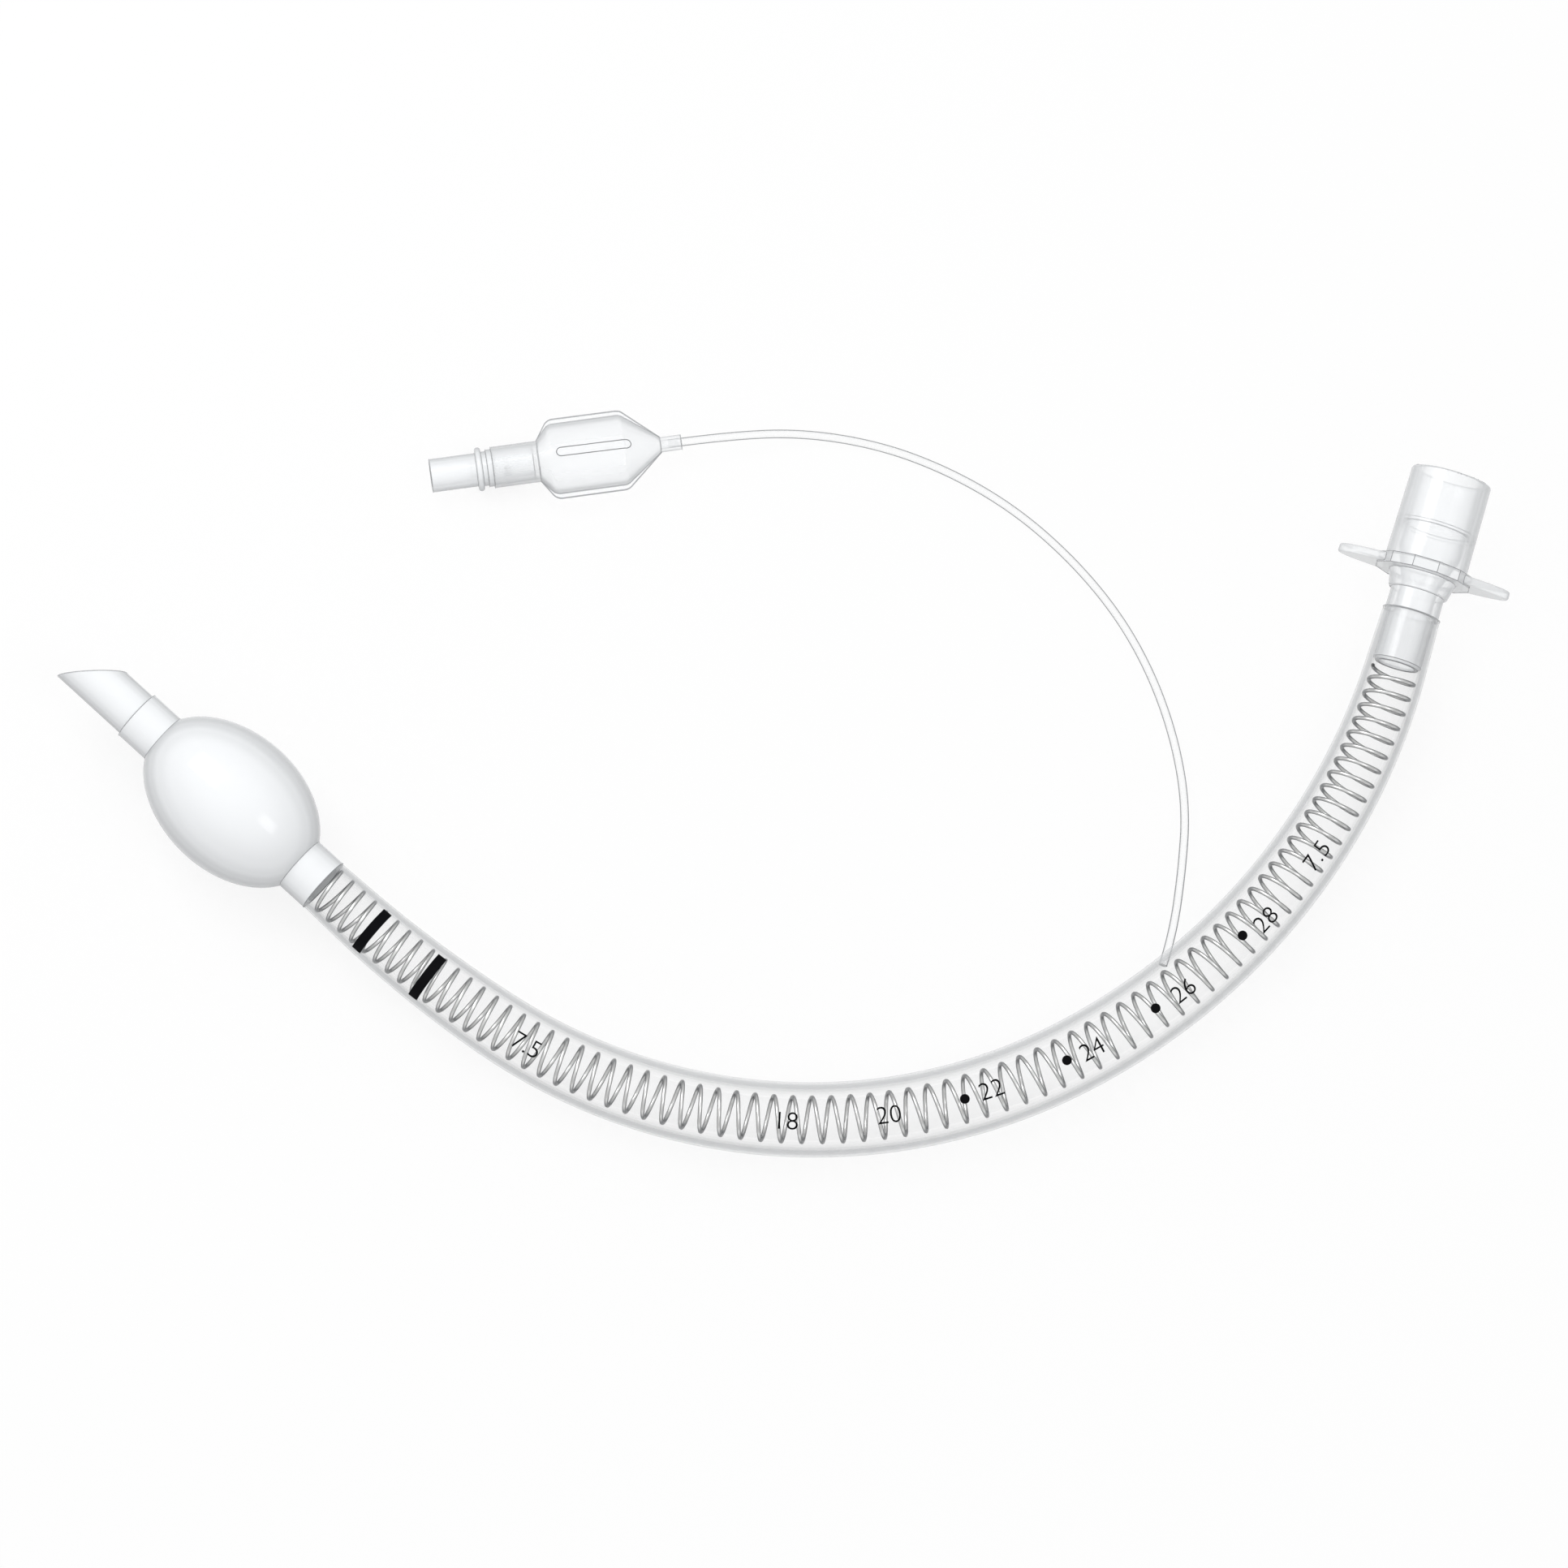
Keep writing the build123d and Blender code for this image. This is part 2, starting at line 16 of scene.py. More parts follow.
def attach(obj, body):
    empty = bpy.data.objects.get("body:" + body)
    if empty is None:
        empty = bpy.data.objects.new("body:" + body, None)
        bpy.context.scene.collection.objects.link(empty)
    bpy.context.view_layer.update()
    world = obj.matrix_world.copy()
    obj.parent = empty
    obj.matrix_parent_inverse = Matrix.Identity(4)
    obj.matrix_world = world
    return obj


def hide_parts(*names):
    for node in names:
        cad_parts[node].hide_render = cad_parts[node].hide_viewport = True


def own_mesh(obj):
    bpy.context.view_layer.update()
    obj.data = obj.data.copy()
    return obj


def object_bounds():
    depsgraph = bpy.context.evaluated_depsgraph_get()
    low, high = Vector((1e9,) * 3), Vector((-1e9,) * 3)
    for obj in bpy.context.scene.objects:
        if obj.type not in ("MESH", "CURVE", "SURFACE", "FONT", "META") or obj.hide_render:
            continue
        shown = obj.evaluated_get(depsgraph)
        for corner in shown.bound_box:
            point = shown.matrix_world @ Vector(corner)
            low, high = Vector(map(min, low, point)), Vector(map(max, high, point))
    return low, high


bl_info = {
    "name": "Endotracheal Tube",
    "version": (1, 0, 0),
    "blender": (4, 5, 0),
    "location": "View3D > Sidebar > Airway",
    "description": "Builds the looks of a cuffed, wire-reinforced endotracheal tube",
    "category": "Object",
}

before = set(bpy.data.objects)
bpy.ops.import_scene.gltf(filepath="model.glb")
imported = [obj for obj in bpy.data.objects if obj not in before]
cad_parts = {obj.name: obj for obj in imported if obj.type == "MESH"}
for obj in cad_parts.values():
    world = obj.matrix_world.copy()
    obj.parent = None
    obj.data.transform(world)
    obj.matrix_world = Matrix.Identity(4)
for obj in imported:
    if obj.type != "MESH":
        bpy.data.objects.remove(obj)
CAD_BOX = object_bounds()

# Route of the inflation line from its seat in the shaft to the pilot balloon, in metres.
LINE_ROUTE = [
    (0.0691, -0.0284, 0.0069),
    (0.0709, -0.0226, 0.0061),
    (0.0726, -0.0106, 0.0037),
    (0.0735, 0.0019, 0.0015),
    (0.0716, 0.0144, 0.0008),
    (0.0674, 0.0269, 0.0008),
    (0.0612, 0.0383, 0.0008),
    (0.0526, 0.0488, 0.0008),
    (0.0423, 0.058, 0.0008),
    (0.0305, 0.0651, 0.0008),
    (0.0176, 0.0701, 0.0008),
    (0.0032, 0.0723, 0.0016),
    (-0.01052, 0.07106, 0.0044),
    (-0.02112, 0.06959, 0.0044),
]

# Fineness of the meshes
SHAFT_SEGMENTS = 72
SHAFT_STEPS = 200
SEAT_STEPS = 8
BORE_STEPS = 160
RIM_SEGMENTS = 96
COIL_STEPS_PER_TURN = 28
COIL_SIDES = 8
CUT_STEP = 0.0004
CUTS_EACH_WAY = 16

# Height of a figure as a share of the font's size
FIGURE_SHARE = 0.7


def size(name, description, metres):
    return FloatProperty(
        name=name,
        description=description,
        default=metres,
        precision=5,
        subtype="DISTANCE",
        unit="LENGTH",
    )


def turn(name, description, degrees):
    return FloatProperty(
        name=name,
        description=description,
        default=radians(degrees),
        subtype="ANGLE",
        unit="ROTATION",
    )


def share(name, description, default):
    return FloatProperty(
        name=name, description=description, default=default, min=0.0, max=1.0, subtype="FACTOR"
    )


def number(name, description, default):
    return FloatProperty(name=name, description=description, default=default, min=0.0)


def count(name, description, default):
    return IntProperty(name=name, description=description, default=default, min=1)


def tint(name, description, rgb):
    return FloatVectorProperty(
        name=name, description=description, default=rgb, size=3, min=0.0, max=1.0, subtype="COLOR"
    )


class AxisSettings(bpy.types.PropertyGroup):
    """The tube's axis in its own plane."""

    tip_x: size("Tip X", "Place of the bevel's sharp end", -0.1296)
    tip_y: size("Tip Y", "Place of the bevel's sharp end", 0.0272)
    tip_heading: turn("Tip heading", "Direction of the axis at the tip", -42.5)
    tip_straight: size("Tip straight", "Straight length at the tip", 0.0683)
    entry_radius: size("Entry radius", "Radius of the first bend", 0.224)
    entry_turn: turn("Entry turn", "Turn of the first bend", 8.8)
    main_radius: size("Main radius", "Radius of the main bend", 0.1026)
    main_turn: turn("Main turn", "Turn of the main bend", 60.6)
    upper_radius: size("Upper radius", "Radius of the last bend", 0.1193)
    upper_turn: turn("Upper turn", "Turn of the last bend", 46.8)
    end_straight: size("End straight", "Straight length at the connector", 0.0106)


class ShaftSettings(bpy.types.PropertyGroup):
    """The clear reinforced tube."""

    start: size("Start", "Where the shaft begins under the cuff's sleeve", 0.059)
    bore: size("Bore", "Inside diameter", 0.0075)
    od_cuff_end: size("Diameter at the cuff", "Outside diameter at the cuff", 0.0103)
    od_connector_end: size("Diameter at the connector", "Outside diameter there", 0.0108)
    swell: size("Swell", "Added diameter in the middle", 0.0033)
    fullness: number("Fullness", "How evenly the swell is spread", 2.6)
    rest_share: share("Rest", "Share of its length at which the shaft rests", 0.62)
    seat_length: size("Stem seat", "Length of the connector's stem in the tube", 0.0099)
    seat_diameter: size("Stem seat diameter", "Diameter of the seat for the stem", 0.009)


class WireSettings(bpy.types.PropertyGroup):
    """The reinforcing coil."""

    start: size("Start", "Where the coil begins", 0.0626)
    end_gap: size("End gap", "Gap from the coil to the connector's stem", 0.0012)
    radius: size("Radius", "Radius of the coil's middle line", 0.00413)
    thickness: size("Wire", "Diameter of the wire", 0.00075)
    turns: count("Turns", "Number of turns", 76)
    widening: share("Widening", "How much wider the turns stand in the middle", 0.14)
    colour: tint("Colour", "Colour of the wire", (0.95, 0.95, 0.94))
    # Painted shade on the sides of the wire.
    painted_shade_colour: tint("Edge colour", "Colour of the wire's sides", (0.2, 0.205, 0.21))


class PrintSettings(bpy.types.PropertyGroup):
    """The printed depth marks."""

    lift: size("Lift", "Height of the print over the tube", 0.00004)
    glyph: size("Figure height", "Height of the printed figures", 0.0033)
    thinning: size("Thinning", "How much the figures' strokes are thinned", 0.00005)
    band_width: size("Band width", "Width of the two bands along the tube", 0.0019)
    band_length: size("Band length", "Length of the two bands round the tube", 0.0105)
    dot: size("Dot", "Diameter of the dots", 0.0018)
    colour: tint("Ink", "Colour of the ink", (0.004, 0.004, 0.005))


class LineSettings(bpy.types.PropertyGroup):
    """The inflation line."""

    diameter: size("Diameter", "Outside diameter of the line", 0.0016)
    length: size("Length", "Length of the line", 0.161)


class EdgeSettings(bpy.types.PropertyGroup):
    """Painted shade lines along the edges of the moulded pieces."""

    # The beads are thin dark lines of painted shade; the solids keep their own edges.
    radius: size("Radius", "Radius of the rounded edges", 0.00009)
    least_turn: turn("Least turn", "Least angle at which two faces meet in an edge", 24.0)
    # The socket's step is drawn as two painted shade lines across the cone.
    step_height: size("Step height", "Height of the socket's step over the tube's end", 0.0163)
    step_gap: size("Step gap", "Distance of the two lines of the socket's step", 0.0006)
    step_radius: size("Step radius", "Radius of the two lines of the socket's step", 0.0075)


class WindowSettings(bpy.types.PropertyGroup):
    """The window on the pilot balloon."""

    place_x: size("Place X", "Middle of the window", -0.0348)
    place_y: size("Place Y", "Middle of the window", 0.0679)
    heading: turn("Heading", "Direction of the window", 7.2)
    length: size("Length", "Length of the window", 0.0137)
    width: size("Width", "Width of the window", 0.0016)
    outline: size("Outline", "Half thickness of its outline", 0.00008)


class ValveSettings(bpy.types.PropertyGroup):
    """The valve behind the pilot balloon."""

    heading: turn("Heading", "Direction in which the poppet is pushed in", 7.9)
    travel: size("Travel", "How far the poppet is pushed in", 0.0012)
    spring_colour: tint("Spring", "Colour of the spring's wire", (0.6, 0.6, 0.6))
    # Painted shade on the sides of the spring's wire.
    spring_painted_shade_colour: tint("Spring edge", "Colour of the wire's sides", (0.2, 0.2, 0.2))


class RestSettings(bpy.types.PropertyGroup):
    """What the tube rests on besides its shaft."""

    cuff_middle: size("Cuff middle", "Where the cuff is widest", 0.0394)
    cuff_diameter: size("Cuff diameter", "Largest diameter of the cuff", 0.0258)
    flange_height: size("Flange", "Distance of the flange from the tube's end", 0.0072)
    flange_flats: size("Flange flats", "Size of the flange across its flats", 0.0175)


class StageSettings(bpy.types.PropertyGroup):
    """Camera, floor and light."""

    elevation: turn("Elevation", "Height of the camera over the surface", 78.0)
    distance: size("Distance", "Distance of the camera", 6.0)
    frame_width: size("Frame width", "What the picture takes in", 0.2866)
    aim_x: size("Aim X", "Point in the middle of the picture", 0.0)
    aim_y: size("Aim Y", "Point in the middle of the picture", 0.00685)
    floor_size: size("Floor size", "Half the width of the floor", 6.0)
    floor_colour: tint("Floor", "Colour of the floor", (0.96, 0.96, 0.96))
    floor_glow: share("Floor glow", "Share of plain white in the floor as it is seen", 0.8)
    key_power: number("Key light", "Power of the main lamp in watts", 6.0)
    fill_power: number("Fill light", "Power of the second lamp in watts", 2.0)


def settings(name):
    return getattr(bpy.context.scene, name)


def axis_runs():
    """Length, radius and turn of each run of the axis."""
    a = settings("ett_axis")
    bends = (
        (a.entry_radius, a.entry_turn),
        (a.main_radius, a.main_turn),
        (a.upper_radius, a.upper_turn),
    )
    runs = [(a.tip_straight, None)]
    runs += [(radius * angle, radius) for radius, angle in bends]
    runs.append((a.end_straight, None))
    return runs


def tube_length():
    return sum(length for length, _ in axis_runs())


def axis_point(along):
    """Point of the axis and its heading. Past its end it runs on straight."""
    a = settings("ett_axis")
    x, y, heading = a.tip_x, a.tip_y, a.tip_heading
    left = along
    for length, radius in axis_runs():
        step = min(left, length)
        if radius is None:
            x += step * cos(heading)
            y += step * sin(heading)
        else:
            change = step / radius
            x += radius * (sin(heading + change) - sin(heading))
            y -= radius * (cos(heading + change) - cos(heading))
            heading += change
        left -= step
        if left <= 0.0:
            break
    return Vector((x + left * cos(heading), y + left * sin(heading), 0.0)), heading


def shaft_diameter(along):
    s = settings("ett_shaft")
    part = (along - s.start) / (tube_length() - s.start)
    ends = s.od_cuff_end + (s.od_connector_end - s.od_cuff_end) * part
    return ends + s.swell * (1 - abs(2 * part - 1) ** s.fullness)


def resting_matrix():
    """The tube's own plane as it lies on its cuff, its shaft and its flange."""
    s = settings("ett_shaft")
    r = settings("ett_rest")
    length = tube_length()
    shaft_rest = s.start + (length - s.start) * s.rest_share
    contacts = (
        (r.cuff_middle, r.cuff_diameter / 2),
        (shaft_rest, shaft_diameter(shaft_rest) / 2),
        (length + r.flange_height, r.flange_flats / 2),
    )
    (p1, h1), (p2, h2), (p3, h3) = [(axis_point(at)[0], height) for at, height in contacts]
    area = (p2.x - p1.x) * (p3.y - p1.y) - (p3.x - p1.x) * (p2.y - p1.y)
    rise_x = ((h2 - h1) * (p3.y - p1.y) - (h3 - h1) * (p2.y - p1.y)) / area
    rise_y = ((p2.x - p1.x) * (h3 - h1) - (p3.x - p1.x) * (h2 - h1)) / area
    x_axis = Vector((sqrt(1 - rise_x**2), 0.0, rise_x))
    upright = sqrt(1 - rise_x**2 - rise_y**2)
    lean_x = -upright * rise_x / x_axis.x
    lean_y = -copysign(sqrt(max(0.0, 1 - lean_x**2 - upright**2)), rise_y)
    z_axis = Vector((lean_x, lean_y, upright))
    y_axis = z_axis.cross(x_axis)
    turned = Matrix((x_axis, y_axis, z_axis)).transposed().to_4x4()
    return Matrix.Translation((0.0, 0.0, h1 - rise_x * p1.x - rise_y * p1.y)) @ turned


def axis_places(stations):
    """Frames across the axis: x points to the inside of the bends, y up, z ahead."""
    lying = resting_matrix()
    places = []
    for along in stations:
        point, heading = axis_point(along)
        ahead = Vector((cos(heading), sin(heading), 0.0))
        inward = Vector((-sin(heading), cos(heading), 0.0))
        turned = Matrix((inward, Vector((0.0, 0.0, 1.0)), ahead)).transposed().to_4x4()
        places.append(lying @ Matrix.Translation(point) @ turned)
    return places


def spread(first, last, steps):
    """Evenly spaced values from the first to the last."""
    return [first + (last - first) * k / steps for k in range(steps + 1)]


def add_object(name, data, body, replaced=()):
    """A piece that rides on its body and takes a finish."""
    piece = bpy.data.objects.new(name, data)
    bpy.context.collection.objects.link(piece)
    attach(piece, body)
    if replaced:
        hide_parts(*replaced)
    return piece


def smooth(mesh):
    for face in mesh.polygons:
        face.use_smooth = True


def rings_mesh(name, rings, closed_loop=False):
    """Mesh through rings of points of equal number."""
    bm = bmesh.new()
    rows = [[bm.verts.new(point) for point in ring] for ring in rings]
    pairs = list(zip(rows, rows[1:]))
    if closed_loop:
        pairs.append((rows[-1], rows[0]))
    for row, after in pairs:
        for k in range(len(row)):
            n = (k + 1) % len(row)
            bm.faces.new((row[k], row[n], after[n], after[k]))
    bmesh.ops.recalc_face_normals(bm, faces=bm.faces[:])
    mesh = bpy.data.meshes.new(name)
    bm.to_mesh(mesh)
    bm.free()
    smooth(mesh)
    return mesh


def ring(place, radius, segments):
    angles = [2 * pi * k / segments for k in range(segments)]
    return [place @ Vector((radius * cos(a), radius * sin(a), 0.0)) for a in angles]


def add_beads(name, chains, radius, material):
    """Thin round beads along chains of points, kept inside the box of the solids."""
    curve = bpy.data.curves.new(name, "CURVE")
    curve.dimensions = "3D"
    curve.bevel_depth = radius
    curve.bevel_resolution = 1
    low, high = CAD_BOX
    for points, closed in chains:
        spline = curve.splines.new("POLY")
        spline.points.add(len(points) - 1)
        for point, place in zip(spline.points, points):
            inside = [min(max(c, a + radius), b - radius) for c, a, b in zip(place, low, high)]
            point.co = (*inside, 1.0)
        spline.use_cyclic_u = closed
    curve.materials.append(material)
    add_object(name, curve, "tube")


def new_material(name):
    material = bpy.data.materials.new(name)
    material.use_nodes = True
    tree = material.node_tree
    return material, tree, tree.nodes["Principled BSDF"]


def ramp(tree, fac, stops):
    """Colour ramp with stops of place and value, or place and colour."""
    node = tree.nodes.new("ShaderNodeValToRGB")
    node.color_ramp.interpolation = "EASE"
    while len(node.color_ramp.elements) < len(stops):
        node.color_ramp.elements.new(0.5)
    for element, (place, value) in zip(node.color_ramp.elements, stops):
        element.position = place
        element.color = (value, value, value, 1.0) if isinstance(value, float) else (*value, 1.0)
    tree.links.new(fac, node.inputs["Fac"])
    return node.outputs["Color"]


def fine_bump(tree, shader, scale, strength, distance):
    """The faint unevenness of a moulded or drawn surface."""
    place = tree.nodes.new("ShaderNodeTexCoord")
    noise = tree.nodes.new("ShaderNodeTexNoise")
    noise.inputs["Scale"].default_value = scale
    noise.inputs["Detail"].default_value = 3.0
    bump = tree.nodes.new("ShaderNodeBump")
    bump.inputs["Strength"].default_value = strength
    bump.inputs["Distance"].default_value = distance
    tree.links.new(place.outputs["Object"], noise.inputs["Vector"])
    tree.links.new(noise.outputs["Fac"], bump.inputs["Height"])
    tree.links.new(bump.outputs["Normal"], shader.inputs["Normal"])
    return noise.outputs["Fac"]


def film(name, tones, cover, roughness, scale=400.0, strength=0.15, gloss=0.5, shadow=0.3):
    """See-through plastic: its tone and its cover go by how steeply it is seen. Its tone is painted
    shade, darker towards its outline, and in some ramps painted light, lighter again at the rim.

    It throws only a part of the shadow of a solid one, because it scatters the light on.
    """
    material, tree, shader = new_material(name)
    weight = tree.nodes.new("ShaderNodeLayerWeight")
    weight.inputs["Blend"].default_value = 0.5
    facing = weight.outputs["Facing"]
    # Painted shade: the base colour darkens as the surface is seen more at a slant, and in some
    # ramps lightens again at the rim.
    tree.links.new(ramp(tree, facing, tones), shader.inputs["Base Color"])
    path = tree.nodes.new("ShaderNodeLightPath")
    dimming = tree.nodes.new("ShaderNodeMapRange")
    dimming.inputs["To Min"].default_value = 1.0
    dimming.inputs["To Max"].default_value = shadow
    light = tree.nodes.new("ShaderNodeMath")
    light.operation = "MAXIMUM"
    tree.links.new(path.outputs["Is Shadow Ray"], light.inputs[0])
    tree.links.new(path.outputs["Is Diffuse Ray"], light.inputs[1])
    tree.links.new(light.outputs["Value"], dimming.inputs["Value"])
    alpha = tree.nodes.new("ShaderNodeMath")
    alpha.operation = "MULTIPLY"
    tree.links.new(ramp(tree, facing, cover), alpha.inputs[0])
    tree.links.new(dimming.outputs["Result"], alpha.inputs[1])
    tree.links.new(alpha.outputs["Value"], shader.inputs["Alpha"])
    fine = fine_bump(tree, shader, scale, strength, 0.0001)
    rough = tree.nodes.new("ShaderNodeMapRange")
    rough.inputs["To Min"].default_value = roughness * 0.7
    rough.inputs["To Max"].default_value = roughness * 1.3
    tree.links.new(fine, rough.inputs["Value"])
    tree.links.new(rough.outputs["Result"], shader.inputs["Roughness"])
    shader.inputs["IOR"].default_value = 1.45
    shader.inputs["Specular IOR Level"].default_value = gloss
    return material


def grey(level):
    """Linear value of a picture tone from 0 to 255."""
    return (level / 255) ** 2.2


def cool(level):
    """A tone with a trace of blue, as clear plastic has in its thick parts."""
    return (grey(level - 2), grey(level), grey(level + 2))


def metal(name, colour, painted_shade_colour, roughness):
    """Drawn wire, bright along its middle, with painted shade that darkens its sides."""
    material, tree, shader = new_material(name)
    weight = tree.nodes.new("ShaderNodeLayerWeight")
    weight.inputs["Blend"].default_value = 0.5
    # Painted shade: the colour darkens to the shade colour as the wire turns away from view.
    stops = [(0.0, tuple(colour)), (0.15, tuple(colour)), (0.65, tuple(painted_shade_colour))]
    tones = ramp(tree, weight.outputs["Facing"], stops)
    tree.links.new(tones, shader.inputs["Base Color"])
    shader.inputs["Metallic"].default_value = 1.0
    shader.inputs["Roughness"].default_value = roughness
    fine_bump(tree, shader, 2500.0, 0.2, 0.00005)
    return material


def plain(name, colour, roughness):
    """Solid-coloured plastic, rubber or ink with a faint mottle."""
    material, tree, shader = new_material(name)
    shade = tuple(c * 0.9 for c in colour)
    fine = fine_bump(tree, shader, 1500.0, 0.15, 0.00005)
    tones = ramp(tree, fine, [(0.3, shade), (0.7, tuple(colour))])
    tree.links.new(tones, shader.inputs["Base Color"])
    shader.inputs["Roughness"].default_value = roughness
    return material


def dress(node, material):
    """Gives a solid of the frame its finish."""
    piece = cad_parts[node]
    for place in piece.material_slots:
        place.material = material


class ETT_OT_stage(bpy.types.Operator):
    """Camera, pale floor and soft light"""

    bl_idname = "ett.stage"
    bl_label = "Stage"

    def execute(self, context):
        s = settings("ett_stage")
        context.scene.view_settings.view_transform = "Standard"
        self.add_camera(context, s)
        self.add_floor(context, s)
        self.add_world(context)
        self.add_lamps(context, s)
        return {"FINISHED"}

    def add_camera(self, context, s):
        camera = bpy.data.cameras.new("camera")
        camera.sensor_width = 36.0
        camera.sensor_height = 36.0
        camera.sensor_fit = "HORIZONTAL"
        camera.lens = camera.sensor_width * s.distance / s.frame_width
        camera.clip_end = 20.0
        camera.clip_start = 0.1
        holder = bpy.data.objects.new("camera", camera)
        context.collection.objects.link(holder)
        aim = Vector((s.aim_x, s.aim_y, 0.0))
        back = Vector((0.0, -cos(s.elevation), sin(s.elevation)))
        holder.location = aim + back * s.distance
        holder.rotation_euler = (pi / 2 - s.elevation, 0.0, 0.0)
        context.scene.camera = holder

    def add_floor(self, context, s):
        bm = bmesh.new()
        bmesh.ops.create_grid(bm, x_segments=1, y_segments=1, size=s.floor_size)
        mesh = bpy.data.meshes.new("floor")
        bm.to_mesh(mesh)
        bm.free()
        floor = bpy.data.objects.new("floor", mesh)
        context.collection.objects.link(floor)
        material, tree, shader = new_material("paper_white")
        shader.inputs["Base Color"].default_value = (*s.floor_colour, 1.0)
        shader.inputs["Roughness"].default_value = 0.9
        seen = tree.nodes.new("ShaderNodeLightPath")
        glow = tree.nodes.new("ShaderNodeEmission")
        glow.inputs["Color"].default_value = (1.0, 1.0, 1.0, 1.0)
        either = tree.nodes.new("ShaderNodeMath")
        either.operation = "MAXIMUM"
        glow_share = tree.nodes.new("ShaderNodeMath")
        glow_share.operation = "MULTIPLY"
        glow_share.inputs[1].default_value = s.floor_glow
        mix = tree.nodes.new("ShaderNodeMixShader")
        tree.links.new(seen.outputs["Is Camera Ray"], either.inputs[0])
        tree.links.new(seen.outputs["Is Transmission Ray"], either.inputs[1])
        tree.links.new(either.outputs["Value"], glow_share.inputs[0])
        tree.links.new(glow_share.outputs["Value"], mix.inputs["Fac"])
        tree.links.new(shader.outputs["BSDF"], mix.inputs[1])
        tree.links.new(glow.outputs["Emission"], mix.inputs[2])
        tree.links.new(mix.outputs["Shader"], tree.nodes["Material Output"].inputs["Surface"])
        mesh.materials.append(material)

    def add_world(self, context):
        world = bpy.data.worlds.new("studio")
        world.use_nodes = True
        tree = world.node_tree
        back = tree.nodes["Background"]
        place = tree.nodes.new("ShaderNodeTexCoord")
        parts = tree.nodes.new("ShaderNodeSeparateXYZ")
        tree.links.new(place.outputs["Generated"], parts.inputs["Vector"])
        sky = ramp(tree, parts.outputs["Z"], [(0.0, 0.33), (0.35, 0.52), (0.8, 0.76)])
        tree.links.new(sky, back.inputs["Color"])
        white = tree.nodes.new("ShaderNodeBackground")
        white.inputs["Color"].default_value = (1.0, 1.0, 1.0, 1.0)
        seen = tree.nodes.new("ShaderNodeLightPath")
        mix = tree.nodes.new("ShaderNodeMixShader")
        either = tree.nodes.new("ShaderNodeMath")
        either.operation = "MAXIMUM"
        tree.links.new(seen.outputs["Is Camera Ray"], either.inputs[0])
        tree.links.new(seen.outputs["Is Transmission Ray"], either.inputs[1])
        tree.links.new(either.outputs["Value"], mix.inputs["Fac"])
        tree.links.new(back.outputs["Background"], mix.inputs[1])
        tree.links.new(white.outputs["Background"], mix.inputs[2])
        tree.links.new(mix.outputs["Shader"], tree.nodes["World Output"].inputs["Surface"])
        context.scene.world = world

    def add_lamps(self, context, s):
        for name, place, width, power in (
            ("soft_key", (-0.5, 0.55, 1.1), 0.7, s.key_power),
            ("soft_fill", (0.7, -0.5, 1.2), 0.5, s.fill_power),
        ):
            lamp = bpy.data.lights.new(name, "AREA")
            lamp.shape = "SQUARE"
            lamp.size = width
            lamp.energy = power
            holder = bpy.data.objects.new(name, lamp)
            context.collection.objects.link(holder)
            holder.location = place
            away = Vector(place).normalized()
            holder.rotation_euler = away.to_track_quat("Z", "Y").to_euler()


class ETT_OT_valve_spring(bpy.types.Operator):
    """The valve's spring, copied from its solid as a piece of its own with a wire finish"""

    bl_idname = "ett.valve_spring"
    bl_label = "Valve spring"

    def execute(self, context):
        s = settings("ett_valve")
        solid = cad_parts["valve_spring"]
        mesh = solid.data.copy()
        mesh.transform(solid.matrix_world)
        mesh.materials.clear()
        # Its finish paints shade on the spring wire's sides.
        mesh.materials.append(metal("spring_steel", s.spring_colour, s.spring_painted_shade_colour, 0.3))
        axis = Vector((cos(s.heading), sin(s.heading), 0.0))
        reach = [v.co.dot(axis) for v in mesh.vertices]
        far_end = max((v.co for v in mesh.vertices), key=lambda co: co.dot(axis)).copy()
        spring = add_object("poppet_spring", mesh, "tube", ["valve_spring"])
        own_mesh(spring)
        return {"FINISHED"}


class ETT_OT_line(bpy.types.Operator):
    """The thin line from the shaft to the pilot balloon"""

    bl_idname = "ett.line"
    bl_label = "Inflation line"

    def execute(self, context):
        s = settings("ett_line")
        curve = bpy.data.curves.new("inflation_line_tube", "CURVE")
        curve.dimensions = "3D"
        curve.resolution_u = 10
        curve.bevel_depth = s.diameter / 2
        curve.bevel_resolution = 6
        curve.use_fill_caps = True
        spline = curve.splines.new("NURBS")
        spline.points.add(len(LINE_ROUTE) - 1)
        for point, place in zip(spline.points, LINE_ROUTE):
            point.co = (*place, 1.0)
        spline.order_u = 3
        spline.use_endpoint_u = True
        # Painted shade: the line goes grey towards its two sides.
        tones = [(0.0, cool(250)), (0.3, cool(230)), (0.5, cool(150)), (1.0, cool(140))]
        cover = [(0.0, 0.05), (0.25, 0.14), (0.5, 0.75), (1.0, 0.9)]
        curve.materials.append(film("line_vinyl", tones, cover, 0.2))
        line = add_object("inflation_line_tube", curve, "tube", ["inflation_line"])
        return {"FINISHED"}


